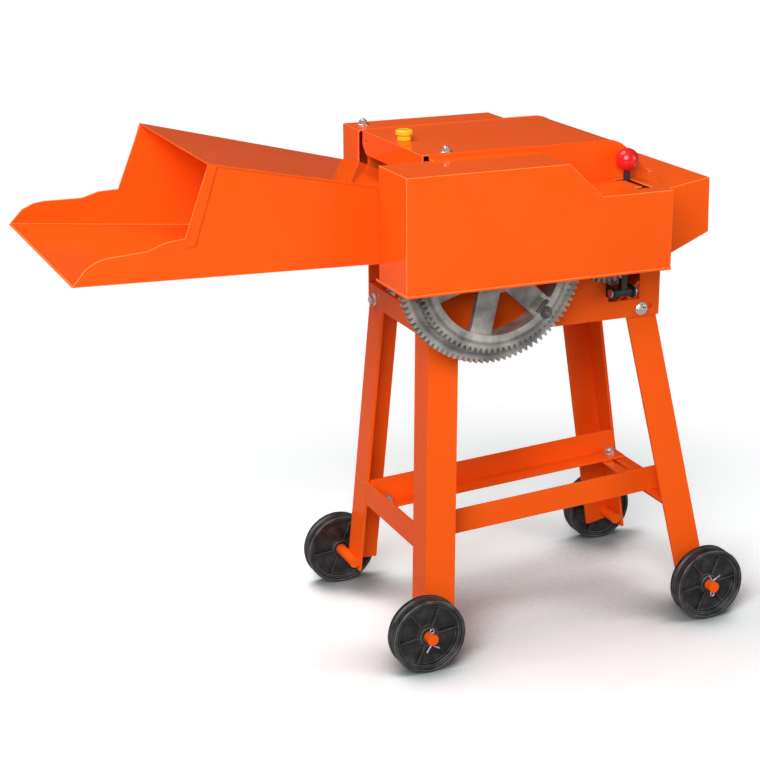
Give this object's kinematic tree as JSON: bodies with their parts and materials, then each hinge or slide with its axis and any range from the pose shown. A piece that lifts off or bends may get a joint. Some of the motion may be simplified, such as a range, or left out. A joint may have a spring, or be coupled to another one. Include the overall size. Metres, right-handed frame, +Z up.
{
  "type": "chaff cutter",
  "caption": "Wheeled feed chopper: covered feed trough, spoked double feed gear, toothed rollers, knife rotor, hinged lid, shift lever and discharge chute on splayed angle legs.",
  "frame": {"origin": "on the floor, under the middle of the whole machine's box", "axes": "+X along the feed, from the trough towards the chute; +Y towards the pulley side; +Z up"},
  "size_m": [1.085, 0.451, 0.817],
  "materials": {
    "orange_paint": "glossy sprayed enamel",
    "gear_iron": "machined, matt",
    "bright_steel": "ground",
    "dark_steel": "dark primer, satin",
    "zinc": "zinc plated",
    "black_plastic": "moulded, slightly glossy",
    "red_plastic": "glossy",
    "yellow_plastic": "glossy"
  },
  "bodies": {
    "chassis": {"side_plate_front": "orange_paint", "side_plate_rear": "orange_paint", "end_rail_feed": "orange_paint", "end_rail_out": "orange_paint", "leg_fl": "orange_paint", "leg_fr": "orange_paint", "leg_bl": "orange_paint", "leg_br": "orange_paint", "brace_feed": "orange_paint", "brace_out": "orange_paint", "rail_front": "orange_paint", "rail_rear": "orange_paint", "rail_bolts": "zinc", "leg_bolts": "zinc", "rail_end_bolts": "zinc", "axle_stubs": "orange_paint", "split_pins": "zinc", "gear_cover": "orange_paint", "rear_cover": "orange_paint", "rear_cover_nut": "zinc", "feed_trough": "orange_paint", "feed_hood": "orange_paint", "discharge_chute": "orange_paint", "rotor_casing": "orange_paint", "roller_bearings": "dark_steel", "main_bearings": "dark_steel", "shear_bar": "orange_paint", "fixed_knife": "bright_steel", "lever_bracket": "dark_steel", "lever_pin": "zinc", "hinge_pin": "zinc"},
    "lid": {"lid": "orange_paint", "lid_nut": "zinc", "cap": "yellow_plastic"},
    "wheel_front_feed": {"wheel_fl": "black_plastic"},
    "wheel_front_out": {"wheel_fr": "black_plastic"},
    "wheel_rear_feed": {"wheel_bl": "black_plastic"},
    "wheel_rear_out": {"wheel_br": "black_plastic"},
    "rotor": {"main_shaft": "bright_steel", "rotor": "dark_steel", "knives": "bright_steel", "knife_bolts": "zinc", "pulley": "dark_steel"},
    "pinions": {"pinion_cluster": "gear_iron"},
    "feed": {"feed_gear": "gear_iron", "lower_roller": "bright_steel", "gear_lower": "gear_iron"},
    "top_roller": {"upper_roller": "bright_steel", "gear_upper": "gear_iron"},
    "lever": {"shift_lever": "dark_steel", "ball": "red_plastic"}
  },
  "joints": [
    {"name": "lid_hinge", "type": "hinge", "parent": "chassis", "child": "lid", "pos_m": [0.3855, 0.0135, 0.735], "axis": [0, 1, 0], "range_deg": [0, 80]},
    {"name": "wheel_front_feed_spin", "type": "hinge", "parent": "chassis", "child": "wheel_front_feed", "pos_m": [-0.0175, -0.1735, 0.06], "axis": [0, 1, 0], "continuous": true},
    {"name": "wheel_front_out_spin", "type": "hinge", "parent": "chassis", "child": "wheel_front_out", "pos_m": [0.4825, -0.1735, 0.06], "axis": [0, 1, 0], "continuous": true},
    {"name": "wheel_rear_feed_spin", "type": "hinge", "parent": "chassis", "child": "wheel_rear_feed", "pos_m": [-0.0175, 0.2005, 0.06], "axis": [0, 1, 0], "continuous": true},
    {"name": "wheel_rear_out_spin", "type": "hinge", "parent": "chassis", "child": "wheel_rear_out", "pos_m": [0.4825, 0.2005, 0.06], "axis": [0, 1, 0], "continuous": true},
    {"name": "rotor_spin", "type": "hinge", "parent": "chassis", "child": "rotor", "pos_m": [0.2835, 0.0135, 0.6473], "axis": [0, 1, 0], "continuous": true},
    {"name": "feed_spin", "type": "hinge", "parent": "chassis", "child": "feed", "pos_m": [0.0985, 0.0135, 0.628], "axis": [0, 1, 0], "continuous": true},
    {"name": "top_roller_spin", "type": "hinge", "parent": "chassis", "child": "top_roller", "pos_m": [0.0985, 0.0135, 0.706], "axis": [0, 1, 0], "continuous": true},
    {"name": "lever_swing", "type": "hinge", "parent": "chassis", "child": "lever", "pos_m": [0.3325, -0.1285, 0.556], "axis": [1, 0, 0], "range_deg": [0, 19]},
    {"name": "pinion_slide", "type": "slide", "parent": "rotor", "child": "pinions", "axis": [0, -1, 0], "range_m": [0, 0.02902]}
  ],
  "couplings": [
    {"joint": "feed_spin", "follows": "rotor_spin", "ratio": -0.45882},
    {"joint": "top_roller_spin", "follows": "rotor_spin", "ratio": 0.45882},
    {"joint": "pinion_slide", "follows": "lever_swing", "m_per_rad": 0.0875}
  ]
}
